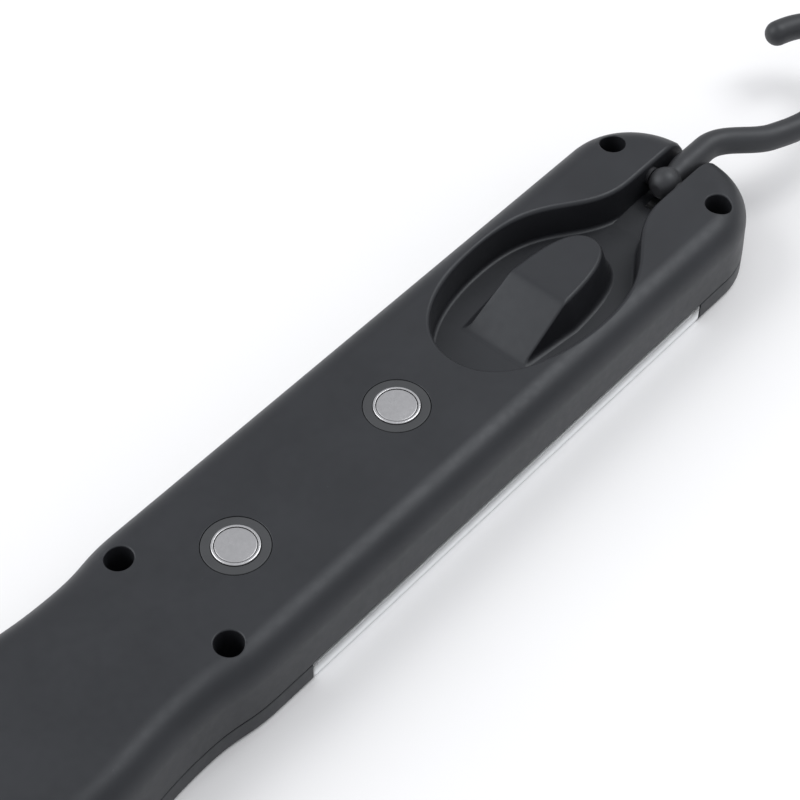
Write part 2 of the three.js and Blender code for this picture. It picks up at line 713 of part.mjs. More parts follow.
function hook() {
  const path = hookPath();
  const sides = 10;
  const rod = bar(path, ROD_R, 36, sides);
  const ball = solid(new THREE.SphereGeometry(BALL_R, 16, 10));
  const neck = turned(
    [
      [0, 0],
      [NECK_R, 0],
      [NECK_R, 5],
      [3.3, 6.2],
      [3.5, 7.5],
      [0, 7.5],
    ],
    sides,
  ).rotate([0, 90, 0]);
  const end = path.getPointAt(1);
  const tip = solid(new THREE.SphereGeometry(ROD_R - 0.01, sides, 6)).translate([end.x, end.y, 0]);
  return piece("hook", join(ball, neck, rod, tip), blackPlastic);
}

// A round cup on each side of the ball, hollowed to fit it.
function ballCups() {
  const reach = SLOT_HALF_WIDTH + 1.5;
  const rim = 3.65;
  const socket = solid(new THREE.SphereGeometry(BALL_R + CUP_GAP, 20, 12));
  return [
    ["ball_cup_left", 1],
    ["ball_cup_right", -1],
  ].map(([name, side]) => {
    const disc = new THREE.CylinderGeometry(CUP_R, CUP_R, reach - rim, 12);
    disc.translate(0, (side * (reach + rim)) / 2, 0);
    return piece(name, cut(solid(disc), socket), blackRubber);
  });
}

// A spring strip on the slot's floor that bears on the ball from below.
function detentSpring() {
  const thick = 0.35;
  const base = SLOT_FLOOR_Z + 0.05;
  const strip = new THREE.Shape();
  strip.moveTo(-6, base);
  strip.lineTo(-5, base);
  strip.quadraticCurveTo(0, base + 0.85, 5, base);
  strip.lineTo(8.5, base);
  strip.lineTo(8.5, base + thick);
  strip.lineTo(5, base + thick);
  strip.quadraticCurveTo(0, base + 0.85 + thick, -5, base + thick);
  strip.lineTo(-6, base + thick);
  strip.closePath();
  const width = 3.2;
  const geometry = new THREE.ExtrudeGeometry(strip, { depth: width, bevelEnabled: false, curveSegments: 6 });
  geometry.rotateX(Math.PI / 2).translate(0, width / 2, 0);
  const mesh = piece("detent_spring", solid(geometry), springSteel);
  mesh.position.x = BALL_X;
  return mesh;
}

// ---- assembly ----

const workLight = new THREE.Group();
workLight.add(backShell(), frontShell(), caseGasket());
workLight.add(lens(), reflectorTray(), ledBoard(), ...cobStrips());
MAGNET_XS.forEach((x, i) => {
  workLight.add(magnetHolder(i + 1, x), magnetPot(i + 1, x), magnet(i + 1, x));
});
screwPlaces().forEach(([x, y], i) => workLight.add(caseScrew(i + 1, x, y)));
workLight.add(batteryCell(), batteryCradle(), ...batteryTabs());
workLight.add(controlBoard(), tactSwitch(), powerButton(), switchPlunger(), indicatorLightPipe());
workLight.add(usbSocket(), usbCover(), ...wires());

const hookGroup = new THREE.Group();
hookGroup.position.set(BALL_X, 0, BALL_Z);
hookGroup.add(hook(), ...ballCups());
workLight.add(hookGroup, detentSpring());

export default workLight;
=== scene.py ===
# A slim hand-held LED work light, lying lens down on a pale floor.
# Lengths in this file are millimetres until a mesh is made; the scene itself is in metres.
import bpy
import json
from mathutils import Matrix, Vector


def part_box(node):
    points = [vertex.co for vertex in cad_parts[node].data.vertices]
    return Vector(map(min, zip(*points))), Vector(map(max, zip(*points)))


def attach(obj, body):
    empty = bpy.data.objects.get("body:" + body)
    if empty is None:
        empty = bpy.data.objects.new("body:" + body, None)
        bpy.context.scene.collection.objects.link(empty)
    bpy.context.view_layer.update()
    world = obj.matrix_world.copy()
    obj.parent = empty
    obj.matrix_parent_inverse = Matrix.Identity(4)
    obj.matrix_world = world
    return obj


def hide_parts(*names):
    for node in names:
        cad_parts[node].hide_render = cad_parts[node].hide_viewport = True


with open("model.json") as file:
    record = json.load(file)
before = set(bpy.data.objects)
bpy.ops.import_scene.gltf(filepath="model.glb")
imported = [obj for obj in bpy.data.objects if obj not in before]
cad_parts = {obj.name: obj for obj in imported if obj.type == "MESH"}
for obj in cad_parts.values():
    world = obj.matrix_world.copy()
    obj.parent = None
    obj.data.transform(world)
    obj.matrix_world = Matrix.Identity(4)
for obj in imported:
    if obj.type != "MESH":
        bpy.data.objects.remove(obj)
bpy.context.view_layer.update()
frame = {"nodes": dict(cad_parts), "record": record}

import json
import math

import bmesh
import bpy
import numpy as np
from mathutils import Matrix, Vector

MM = 0.001

# ---- sizes from the frame ----


def box_mm(node):
    low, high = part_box(node)
    return [value / MM for value in low], [value / MM for value in high]


def spans(node):
    """The node's box as its spans along X, Y and Z."""
    return list(zip(*box_mm(node)))


def centre_of(node):
    low, high = box_mm(node)
    return (low[0] + high[0]) / 2, (low[1] + high[1]) / 2


BACK_LOW, BACK_HIGH = box_mm("back_shell")
LENS_LOW, LENS_HIGH = box_mm("lens")
BODY_END = BACK_HIGH[0]
HALF_WIDTH = LENS_HIGH[1]
BODY_TOP = BACK_HIGH[2]
BACK_BOTTOM = BACK_LOW[2]
FRONT_TOP = box_mm("front_shell")[1][2]

# ---- sizes of the visual surfaces ----

# The body's outline and its rounded edges.
HEAD_R = 23
HANDLE_R = 22
WAIST_HALF = 25.8
WAIST_X = -69
WAIST_START = -47
WAIST_END = -101
WALL = 2
BACK_FILLET = 8
SIDE_DRAFT = 0.3
FRONT_FILLET = 1.2
END_EASE = 1.0  # how much wider the back's rounding is at the ends

# The lens, and the deck of the front shell that it fits round.
LENS_WALL = 1.6
LENS_ROUND = 1.6
FIT_GAP = 0.3
DECK_Z = 4.75
RIM_WALL = 1.2
DECK_HALF = HALF_WIDTH - LENS_WALL - RIM_WALL - 2 * FIT_GAP
DECK_NECK_INSET = 4

# The hook's recess: a slot at the head end that widens into a leaf with a round crown.
SLOT_HALF = 4.7
NECK_X = 127.5
NECK_PULL = 19.4
LEAF_X = 82.5
LEAF_HALF = 20.4
LEAF_PULL = 26.2
CROWN_X = 47
CROWN_PULL = 20
CROWN_FULLNESS = 0.66
RECESS_FLOOR = 13.7
RECESS_DRAFT = 0.35
LIP_R = 1.3
TUB_WALL = 1.9
TUB_FLOOR = 1.6
FLOOR_FILLET = 1.2
SLOT_FLOOR = 14.5
SLOT_SILL = 16
SLOT_SILL_X = 147
SLOT_RISE_X = (119, 121, 127, 128.5)

# The thumb ramp: a slope from its foot to a crease, then a level top with a round nose.
RAMP_FOOT = (63.8, 9.7)
RAMP_CREASE = (81.5, 9)
RAMP_TOP = 23.2
RAMP_NOSE = 104.6
RAMP_LEAN = 0.3
RAMP_ROUND = 0.9
RAMP_FLARE = 1.3

# The ball's centre in X and Z, its cups and the hook's rod.
BALL = (136.5, 20)
BALL_R = 4.5
BALL_GAP = 0.15
CUP_R = 2.5
NECK_R = 3
ROD_R = 3.7
# The hook's centre line, as reach from the ball and offset to the side.
HOOK_NECK_END = 8
HOOK_ROOT_END = 18
HOOK_BEND = [(25.5, 0), (28.5, -8.4), (34.5, -11.2)]
HOOK_SHOULDER = (40, -13.7)
HOOK_SIDE = 16
HOOK_CROWN_GAP = 5.2
HOOK_TIP = [(79.5, 11), (72, 13.1)]
HOOK_SEAM = 0.05

# The case screws in X and Y, each with its twin on the other side, and their holes.
SCREWS = [(135.8, 18), (-52.5, 18), (-136, 17.5)]
COUNTERBORE_R = 3.55
COUNTERBORE_Z = 10.5
BACK_BOSS_R = 4.8
FRONT_BOSS_R = 4
SHAFT_HOLE_R = 1.7
SHAFT_R = 1.45
THREAD_ROOT_R = 1.2
THREAD_PITCH = 1.0
SCREW_HEAD_R = 2.8
CROSS_SLOT = (1.65, 0.36)

# The magnets' holders and steel pots.
HOLDER_R = 8.5
HOLDER_FLANGE_R = 10
HOLDER_FLANGE_Z = (20.1, 22.3)
HOLDER_BORE_R = 6.1
HOLDER_BORE_Z = 20.7
POT_WALL = 0.7

# What passes through the shells: wires, button, light pipe and the socket's cover.
WIRE_HOLE_X = (-31, -25)
WIRE_HOLE_HALF = 6
BUTTON_R = 6
BUTTON_FLANGE_R = 7
BUTTON_FLANGE_Z = (2, 2.7)
BUTTON_STEM_R = 2
PIPE_R = 1.5
PIPE_FLANGE_R = 2.5
PIPE_FLANGE_Z = (2, 3)
COVER_LIP = 0.4
COVER_LIP_Z = (9.5, 13.1)
PLUG_X = (-69.8, -63.8)
PLUG_Z = (10.5, 12.1)

CORNER_STEPS = 5
METAL_MARK = 0.02  # depth of the fine marks on metal

# ---- mesh helpers ----


def new_object(name, bm):
    mesh = bpy.data.meshes.new(name)
    bm.to_mesh(mesh)
    bm.free()
    made = bpy.data.objects.new(name, mesh)
    bpy.context.scene.collection.objects.link(made)
    return made


def soften(made, angle):
    """Smooth shading that keeps corners sharper than the angle and flat faces flat."""
    mesh = made.data
    mesh.shade_smooth()
    mesh.set_sharp_from_angle(angle=math.radians(angle))
    weighted = made.modifiers.new("weighted normals", "WEIGHTED_NORMAL")
    weighted.keep_sharp = True
    weighted.weight = 80


def loft(rings):
    """A bmesh skinned over rings of equal length, in millimetres, with flat ends."""
    bm = bmesh.new()
    rows = [[bm.verts.new([value * MM for value in point]) for point in ring] for ring in rings]
    count = len(rows[0])
    for low, high in zip(rows, rows[1:]):
        for i in range(count):
            j = (i + 1) % count
            bm.faces.new((low[i], low[j], high[j], high[i]))
    bm.faces.new(list(reversed(rows[0])))
    bm.faces.new(rows[-1])
    bmesh.ops.recalc_face_normals(bm, faces=bm.faces)
    return bm


def block(x, y, z):
    return loft([[(x[0], y[0], h), (x[1], y[0], h), (x[1], y[1], h), (x[0], y[1], h)] for h in z])


def circle(radius, z, x, y, sides):
    turns = [2 * math.pi * i / sides for i in range(sides)]
    return [(x + radius * math.cos(a), y + radius * math.sin(a), z) for a in turns]


def ring_about_ball(radius, y, sides):
    """A circle round the ball's cross axis, at one place along it."""
    turns = [2 * math.pi * i / sides for i in range(sides)]
    return [(BALL[0] + radius * math.cos(a), y, BALL[1] + radius * math.sin(a)) for a in turns]


def box_ring(x, y, z, corner):
    """A level rectangle with rounded corners, anticlockwise."""
    spots = [(x[1], y[0], -90), (x[1], y[1], 0), (x[0], y[1], 90), (x[0], y[0], 180)]
    ring = []
    for cx, cy, start in spots:
        middle_x = cx - math.copysign(corner, cx - sum(x) / 2)
        middle_y = cy - math.copysign(corner, cy - sum(y) / 2)
        for i in range(CORNER_STEPS + 1):
            turn = math.radians(start + 90 * i / CORNER_STEPS)
            ring.append((middle_x + corner * math.cos(turn), middle_y + corner * math.sin(turn), z))
    return ring


def inset_box_ring(x, y, inset, z, corner):
    x, y = (x[0] + inset, x[1] - inset), (y[0] + inset, y[1] - inset)
    return box_ring(x, y, z, max(corner - inset, 0.12))


def rounded_box(x, y, profile, corner):
    """An upright box with round corners, from its outline of inset and height."""
    return loft([inset_box_ring(x, y, inset, z, corner) for inset, z in profile])


def rounded_slab(x, z, y, corner, ease):
    """A slab standing along X and Z, its thickness along Y, with round corners and eased edges."""
    profile = [(ease, y[0]), (ease * 0.3, y[0] + ease * 0.3), (0, y[0] + ease)]
    profile += [(0, y[1] - ease), (ease * 0.3, y[1] - ease * 0.3), (ease, y[1])]
    rings = []
    for inset, depth in profile:
        flat = inset_box_ring(x, z, inset, depth, corner)
        rings.append([(a, d, b) for a, b, d in flat])
    return loft(rings)


def turned(profile, x, y, sides):
    """A solid of revolution about a vertical axis from its outline of radius and height."""
    return loft([circle(max(radius, 0.002), z, x, y, sides) for radius, z in profile])


def arc_profile(centre, radius, start, end, steps):
    angles = [math.radians(start + (end - start) * i / steps) for i in range(steps + 1)]
    return [(centre[0] + radius * math.cos(a), centre[1] + radius * math.sin(a)) for a in angles]


def combine(target, operation, *tools):
    """Cuts, joins or meets target with each tool in turn; tools are bmeshes."""
    for tool in tools:
        other = new_object("tool", tool)
        change = target.modifiers.new("change", "BOOLEAN")
        change.operation = operation
        change.solver = "MANIFOLD"
        change.object = other
        result = target.evaluated_get(bpy.context.evaluated_depsgraph_get())
        made = bpy.data.meshes.new_from_object(result)
        target.modifiers.clear()
        old = target.data
        target.data = made
        bpy.data.meshes.remove(old)
        bpy.data.objects.remove(other)


def cubic(a, b, c, d, steps):
    """Points and unit tangents along a cubic curve, without its first point."""
    a, b, c, d = (np.array(p, float) for p in (a, b, c, d))
    t = np.arange(1, steps + 1)[:, None] / steps
    points = (1 - t) ** 3 * a + 3 * (1 - t) ** 2 * t * b + 3 * (1 - t) * t * t * c + t**3 * d
    run = 3 * ((1 - t) ** 2 * (b - a) + 2 * (1 - t) * t * (c - b) + t * t * (d - c))
    return points, run / np.linalg.norm(run, axis=1)[:, None]


def straight(a, b, steps):
    a, b = np.array(a, float), np.array(b, float)
    t = np.arange(1, steps + 1)[:, None] / steps
    run = (b - a) / np.linalg.norm(b - a)
    return a + (b - a) * t, np.repeat(run[None], steps, axis=0)


def round_corner(centre, radius, start, end, steps):
    angles = np.radians(start + (end - start) * np.arange(1, steps + 1) / steps)
    points = np.array(centre) + radius * np.c_[np.cos(angles), np.sin(angles)]
    return points, np.c_[-np.sin(angles), np.cos(angles)]


class Outline:
    """A closed outline, anticlockwise, that can be moved out or in along its normals."""

    def __init__(self, stretches):
        self.points = np.vstack([points for points, tangents in stretches])
        tangents = np.vstack([tangents for points, tangents in stretches])
        self.normals = np.c_[tangents[:, 1], -tangents[:, 0]]

    def grown(self, by):
        return self.points + self.normals * np.reshape(by, (-1, 1))

    def ring(self, by, z):
        return [(x, y, z) for x, y in self.grown(by)]


# ---- outlines ----


def body_outline():
    head, handle = BODY_END - HEAD_R, -BODY_END + HANDLE_R
    head_y, handle_y = HALF_WIDTH - HEAD_R, HALF_WIDTH - HANDLE_R
    ease_in, ease_out = (WAIST_START - WAIST_X) / 2, (WAIST_X - WAIST_END) / 2

    def waist(side, back):
        first = [
            (WAIST_START, side * HALF_WIDTH),
            (WAIST_START - ease_in, side * HALF_WIDTH),
            (WAIST_X + ease_in, side * WAIST_HALF),
            (WAIST_X, side * WAIST_HALF),
        ]
        second = [
            (WAIST_X, side * WAIST_HALF),
            (WAIST_X - ease_out, side * WAIST_HALF),
            (WAIST_END + ease_out, side * HALF_WIDTH),
            (WAIST_END, side * HALF_WIDTH),
        ]
        if back:
            return [cubic(*second[::-1], 14), cubic(*first[::-1], 12)]
        return [cubic(*first, 12), cubic(*second, 14)]

    return Outline(
        [
            round_corner((head, -head_y), HEAD_R, -90, 0, 24),
            straight((BODY_END, -head_y), (BODY_END, head_y), 4),
            round_corner((head, head_y), HEAD_R, 0, 90, 24),
            straight((head, HALF_WIDTH), (WAIST_START, HALF_WIDTH), 22),
            *waist(1, False),
            straight((WAIST_END, HALF_WIDTH), (handle, HALF_WIDTH), 4),
            round_corner((handle, handle_y), HANDLE_R, 90, 180, 24),
            straight((-BODY_END, handle_y), (-BODY_END, -handle_y), 4),
            round_corner((handle, -handle_y), HANDLE_R, 180, 270, 24),
            straight((handle, -HALF_WIDTH), (WAIST_END, -HALF_WIDTH), 4),
            *waist(-1, True),
            straight((WAIST_START, -HALF_WIDTH), (head, -HALF_WIDTH), 22),
        ]
    )


BODY = body_outline()


def recess_outline():
    past_end = BODY_END + 7

    def side(s):
        neck = [(NECK_X, s * SLOT_HALF), (NECK_X - NECK_PULL, s * SLOT_HALF)]
        leaf = [(LEAF_X + LEAF_PULL, s * LEAF_HALF), (LEAF_X, s * LEAF_HALF)]
        crown_side = s * CROWN_FULLNESS * LEAF_HALF
        crown = [(LEAF_X - CROWN_PULL, s * LEAF_HALF), (CROWN_X, crown_side), (CROWN_X, 0)]
        return neck, leaf, crown

    neck, leaf, crown = side(1)
    out = [
        straight((past_end, SLOT_HALF), (NECK_X, SLOT_HALF), 20),
        cubic(*neck, *leaf, 30),
        cubic(leaf[-1], *crown, 22),
    ]
    neck, leaf, crown = side(-1)
    back = [
        cubic(*crown[::-1], leaf[-1], 22),
        cubic(*leaf[::-1], *neck[::-1], 30),
        straight((NECK_X, -SLOT_HALF), (past_end, -SLOT_HALF), 20),
    ]
    return Outline(out + back)


RECESS = recess_outline()


def fillet_reach(normals):
    """How far in the back's rounding reaches, which is more at the ends."""
    return BACK_FILLET + END_EASE * np.abs(normals[:, 0]) ** 3


def back_height(points):
    """Height of the back's surface over points in X and Y, level past the body's edge."""
    points = np.asarray(points, float)
    start = BODY.points
    run = np.roll(start, -1, axis=0) - start
    offset = points[:, None, :] - start[None]
    share = np.clip((offset * run).sum(-1) / (run * run).sum(-1), 0, 1)
    nearest = np.linalg.norm(offset - share[..., None] * run, axis=-1)
    inside = np.cross(np.broadcast_to(run, offset.shape), offset)
    closest = nearest.argmin(1)
    rows = np.arange(len(points))
    inset = nearest[rows, closest] * np.where(inside[rows, closest] > 0, 1, -1)
    share = np.clip((inset - SIDE_DRAFT) / fillet_reach(BODY.normals[closest]), 0, 1)
    return BODY_TOP - BACK_FILLET + BACK_FILLET * np.sqrt(1 - (1 - share) ** 2)


# ---- holes in the back ----


def lipped_cutter(outline_at, floor_rings, wall_growth, lip, lip_steps=6):
    """A cutter whose mouth rounds over onto the back's surface.

    outline_at(growth) gives X and Y. The floor's rings are pairs of growth and height.
    """
    rings = [[(x, y, z) for x, y in outline_at(growth)] for growth, z in floor_rings]
    for step in range(lip_steps + 1):
        turn = math.radians(80 * step / lip_steps)
        spot = outline_at(wall_growth + lip * (1 - math.cos(turn)))
        heights = back_height(spot) - lip * (1 - math.sin(turn))
        rings.append([(x, y, z) for (x, y), z in zip(spot, heights)])
    spot = outline_at(wall_growth + lip * 0.97)
    rings.append([(x, y, z) for (x, y), z in zip(spot, back_height(spot) + 0.3)])
    rings.append([(x, y, BODY_TOP + 6) for x, y in spot])
    return loft(rings)


def circle_outline(radius, x, y, sides):
    def at(growth):
        return np.array([point[:2] for point in circle(radius + growth, 0, x, y, sides)])

    return at


def screw_places():
    """All six screws in X and Y."""
    return [(x, side * y) for x, y in SCREWS for side in (1, -1)]


# ---- back shell ----


def back_outer():
    """The whole outside of the back, from the parting line up to the flat."""
    low = [(0.35, BACK_BOTTOM), (0.08, BACK_BOTTOM + 0.14), (0, BACK_BOTTOM + 0.45)]
    rings = [BODY.ring(-inset, z) for inset, z in low]
    reach = fillet_reach(BODY.normals)
    for share, rise in arc_profile((1, 0), 1, 180, 90, 14):
        rings.append(BODY.ring(-(SIDE_DRAFT + reach * share), BODY_TOP - BACK_FILLET * (1 - rise)))
    return loft(rings)


def ramp_side(z):
    """Half of the ramp's outline at a height, from its near slope round to the tip of its nose."""
    rise = RAMP_TOP - RECESS_FLOOR
    foot, crease = np.array(RAMP_FOOT), np.array(RAMP_CREASE)
    over, under = max(z - RECESS_FLOOR, 0.02), max(RAMP_TOP - z, 0.01)
    # The near slope's height, with its crease softened, or its foot where that is nearer.
    crease_ease, foot_ease = 0.3, 0.2
    slope = z - RECESS_FLOOR - crease_ease * math.log(1 - math.exp(-under / crease_ease))
    if over < 3:
        slope = foot_ease * math.log(math.exp(over / foot_ease) - 1)
    rounding = RAMP_ROUND - math.sqrt(RAMP_ROUND**2 - max(RAMP_ROUND - under, 0) ** 2)
    flare = RAMP_FLARE - math.sqrt(RAMP_FLARE**2 - max(RAMP_FLARE - over, 0) ** 2)
    pull = (RAMP_CREASE[0] + 9, 8.5), (RAMP_NOSE, 7.8)
    points, tangents = cubic(RAMP_CREASE, *pull, (RAMP_NOSE, 0), 40)
    normals = np.c_[-tangents[:, 1], tangents[:, 0]]
    nose = points + normals * (RAMP_LEAN * (rise - over) - rounding + flare)
    start = foot + (crease - foot) * slope / rise + (0, flare - rounding)
    line = np.vstack([start, nose[nose[:, 0] > max(start[0] + 0.3, crease[0])]])
    if start[0] > crease[0]:
        line[0, 1] = np.interp(start[0], nose[:, 0], nose[:, 1])
    line[-1, 1] = 0
    along = np.r_[0, np.cumsum(np.linalg.norm(np.diff(line, axis=0), axis=1))]
    places = np.linspace(0.7, along[-1], 44)
    rest = np.c_[np.interp(places, along, line[:, 0]), np.interp(places, along, line[:, 1])]
    inward = line[0] - (0, 0.7)
    t = np.linspace(0, 1, 5)[:-1, None]
    corner = (1 - t) ** 2 * inward + 2 * (1 - t) * t * line[0] + t * t * rest[0]
    return np.vstack([corner, rest])


def thumb_ramp():
    low = [RECESS_FLOOR + h for h in (0.02, 0.06, 0.15, 0.3, 0.5, 0.75, 1, 1.3, 1.8, 2.5)]
    middle = list(np.linspace(RECESS_FLOOR + 3.2, RAMP_TOP - 1.2, 9))
    high = [RAMP_TOP - d for d in (0.9, 0.65, 0.45, 0.3, 0.18, 0.1, 0.05, 0.02, 0.01)]
    rings = []
    for z in low + middle + high:
        half = ramp_side(z)
        rings.append([(x, -y, z) for x, y in half] + [(x, y, z) for x, y in half[-2::-1]])
    rings.insert(0, [(*spot[:2], RECESS_FLOOR - 1) for spot in rings[0]])
    return loft(rings)


def slot_floor():
    """The raised floor and sill of the slot, with eased corners."""
    start, foot, top, level = SLOT_RISE_X
    side = [
        (start, 10),
        (BODY_END + 1, 10),
        (BODY_END + 1, SLOT_SILL),
        (SLOT_SILL_X + 0.5, SLOT_SILL),
        (SLOT_SILL_X + 0.15, SLOT_SILL - 0.15),
        (SLOT_SILL_X, SLOT_SILL - 0.5),
        (SLOT_SILL_X, SLOT_FLOOR + 0.4),
        (SLOT_SILL_X - 0.4, SLOT_FLOOR),
        (level, SLOT_FLOOR),
        (top, SLOT_FLOOR - 0.1),
        (foot, RECESS_FLOOR + 0.1),
        (start, RECESS_FLOOR - 0.05),
    ]
    half = SLOT_HALF + 0.8
    return loft([[(x, y, z) for x, z in side] for y in (-half, half)])


def recess_cutter():
    floor = []
    for i in range(5):
        turn = math.radians(90 * i / 4)
        growth = -FLOOR_FILLET * (1 - math.sin(turn))
        floor.append((growth, RECESS_FLOOR + FLOOR_FILLET * (1 - math.cos(turn))))
    return lipped_cutter(RECESS.grown, floor, RECESS_DRAFT, LIP_R)


def seat_cutter():
    """Round seats in the slot's walls for the two ball cups."""
    reach = SLOT_HALF + 1.7
    return loft([ring_about_ball(CUP_R + BALL_GAP, y, 32) for y in (-reach, reach)])


def socket_cuts():
    """The pocket that the socket's cover lies in, and the socket's opening at its bottom."""
    low, high = box_mm("usb_cover")
    pocket = ((low[0] - 0.6, high[0] + FIT_GAP), (low[2] - FIT_GAP, high[2] + FIT_GAP))
    low_socket, high_socket = box_mm("usb_socket")
    opening = [(low_socket[i] - FIT_GAP, high_socket[i] + FIT_GAP) for i in (0, 2)]
    outside = HALF_WIDTH + 1
    pocket_floor = high[1] - COVER_LIP - 1.15
    return (
        rounded_slab(*pocket, (pocket_floor, outside), 1.8, 0.05),
        rounded_slab(*opening, (WAIST_HALF - WALL - 2, outside), 1.4, 0.05),
    )


def within_back(name, bm, *joined):
    """A bmesh of a solid and what is joined to it, trimmed to the back's outside."""
    made = new_object(name, bm)
    combine(made, "UNION", *joined)
    combine(made, "INTERSECT", back_outer())
    trimmed = bmesh.new()
    trimmed.from_mesh(made.data)
    bpy.data.objects.remove(made)
    return trimmed


def recess_tub():
    """The wall round the recess and the slot, and the screws' bosses, still solid."""
    tub = loft([RECESS.ring(TUB_WALL, z) for z in (RECESS_FLOOR - TUB_FLOOR, BODY_TOP)])
    cheek = SLOT_HALF + 3
    head_z = (SLOT_FLOOR - TUB_FLOOR, BODY_TOP)
    head = block((BALL[0] - 8, BODY_END - 1), (-cheek, cheek), head_z)
    boss = [(BACK_BOSS_R, BACK_BOTTOM), (BACK_BOSS_R, BODY_TOP)]
    return within_back("tub", tub, head, *[turned(boss, x, y, 24) for x, y in screw_places()])


def make_back_shell():
    shell = new_object("back_shell_skin", back_outer())
    eased_from = (SIDE_DRAFT + BACK_FILLET, BODY_TOP - BACK_FILLET)
    cavity = [(WALL, BACK_BOTTOM - 5), (WALL + SIDE_DRAFT, BODY_TOP - BACK_FILLET)]
    cavity += arc_profile(eased_from, BACK_FILLET - WALL, 180, 90, 6)
    combine(shell, "DIFFERENCE", loft([BODY.ring(-inset, z) for inset, z in cavity]))
    combine(shell, "UNION", recess_tub())
    combine(shell, "DIFFERENCE", recess_cutter())
    combine(shell, "UNION", within_back("sill", slot_floor()))
    combine(shell, "UNION", thumb_ramp())
    combine(shell, "DIFFERENCE", seat_cutter(), *socket_cuts())
    for x, y in screw_places():
        mouth = circle_outline(COUNTERBORE_R, x, y, 48)
        combine(shell, "DIFFERENCE", lipped_cutter(mouth, [(0, COUNTERBORE_Z)], 0.04, 0.45, 4))
        shaft = [(SHAFT_HOLE_R, 2), (SHAFT_HOLE_R, COUNTERBORE_Z + 1)]
        combine(shell, "DIFFERENCE", turned(shaft, x, y, 24))
    for name in ("magnet_holder_1", "magnet_holder_2"):
        mouth = circle_outline(HOLDER_R + 0.1, centre_of(name)[0], 0, 72)
        combine(shell, "DIFFERENCE", lipped_cutter(mouth, [(0, 20)], 0.02, 0.22, 3))
    return shell


# ---- front shell ----


def make_front_shell():
    profile = arc_profile((FRONT_FILLET, FRONT_FILLET), FRONT_FILLET, 270, 180, 6)
    profile += [(0, FRONT_TOP - 0.3), (0.08, FRONT_TOP - 0.1), (0.3, FRONT_TOP)]
    shell = new_object("front_shell_skin", loft([BODY.ring(-inset, z) for inset, z in profile]))
    past = FRONT_TOP + 1.6  # clears the shell's top edge
    combine(shell, "DIFFERENCE", loft([BODY.ring(-WALL, z) for z in (WALL - 0.2, past)]))
    bay = (LENS_LOW[0] - FIT_GAP, LENS_HIGH[0] + FIT_GAP)
    combine(shell, "DIFFERENCE", block(bay, (-40, 40), (-1, past)))
    for x, side in zip(bay, (-1, 1)):
        wall = sorted((x, x + side * WALL))
        combine(shell, "UNION", block(wall, (-DECK_HALF, DECK_HALF), (0.5, FRONT_TOP)))
    deck = (LENS_LOW[0] + LENS_WALL + FIT_GAP, LENS_HIGH[0] - LENS_WALL - FIT_GAP)
    combine(shell, "UNION", block(deck, (-DECK_HALF, DECK_HALF), (DECK_Z, FRONT_TOP)))
    neck = DECK_HALF - DECK_NECK_INSET
    neck_span = (bay[0] - 1, bay[1] + 1)
    combine(shell, "UNION", block(neck_span, (-neck, neck), (FRONT_TOP - 0.9, FRONT_TOP)))
    wire_hole = block(WIRE_HOLE_X, (-WIRE_HOLE_HALF, WIRE_HOLE_HALF), (0, past))
    combine(shell, "DIFFERENCE", wire_hole)
    for x, y in screw_places():
        boss = [(FRONT_BOSS_R, 1), (FRONT_BOSS_R, FRONT_TOP)]
        combine(shell, "UNION", turned(boss, x, y, 24))
        combine(shell, "DIFFERENCE", turned([(SHAFT_HOLE_R, 2), (SHAFT_HOLE_R, past)], x, y, 24))
    for name, hole in (("power_button", BUTTON_R + 0.3), ("indicator_light_pipe", PIPE_R + 0.2)):
        mouth = [(hole + 0.5, -1), (hole + 0.5, -0.03), (hole + 0.2, 0.12), (hole, 0.5), (hole, 4)]
        combine(shell, "DIFFERENCE", turned(mouth, centre_of(name)[0], 0, 64))
    return shell


# ---- lens and light ----


def make_lens():
    x, y, z = spans("lens")
    wall, top = LENS_WALL, z[1]
    outer = arc_profile((LENS_ROUND, LENS_ROUND), LENS_ROUND, 270, 180, 8)
    outer += [(0, top - 0.12), (0.12, top)]
    lens = new_object("lens_skin", rounded_box(x, y, outer, 0.5))
    inner = [(wall + 0.6, wall), (wall + 0.18, wall + 0.18), (wall, wall + 0.6), (wall, top + 2)]
    combine(lens, "DIFFERENCE", rounded_box(x, y, inner, 2.6))
    neck = y[1] - wall - RIM_WALL - FIT_GAP - DECK_NECK_INSET
    combine(lens, "DIFFERENCE", block((x[0] - 1, x[1] + 1), (-neck, neck), (top - 1.2, top + 2)))
    return lens


def make_tray():
    x, y, (front, back) = spans("reflector_tray")
    board_front, board_back = spans("led_board")[2]
    tray = new_object("tray_skin", rounded_box(x, y, [(0, front), (0, board_back)], 0.8))
    for edge in y:
        rim = sorted((edge, edge - math.copysign(RIM_WALL, edge)))
        combine(tray, "UNION", loft([box_ring(x, rim, z, 0.4) for z in (board_front, back)]))
    seat = [(1.5, board_front - 0.2), (1.5, back + 2)]
    combine(tray, "DIFFERENCE", rounded_box(x, y, seat, 1))
    slope = [(1.2, front - 1), (1.2, front), (2.4, front + 0.5)]
    slope += [(4, board_front - 0.45), (5.4, board_front - 0.2), (5.4, 9)]
    combine(tray, "DIFFERENCE", rounded_box(x, y, slope, 2))
    return tray


def make_led_board():
    x, y, z = spans("led_board")
    return new_object("board_skin", rounded_box(x, y, [(0, z[0]), (0, z[1])], 1))


def make_led_strip(node):
    """A bar of soft phosphor gel, crowned along its length, on a thin base of the same material."""
    x, y, (face, back) = spans(node)
    profile = [(1.3, face), (0.75, face + 0.08), (0.5, face + 0.25), (0.45, face + 0.4)]
    profile += [(0, face + 0.42), (0, back)]
    return new_object("strip", rounded_box(x, y, profile, 2.2))


# ---- magnets ----


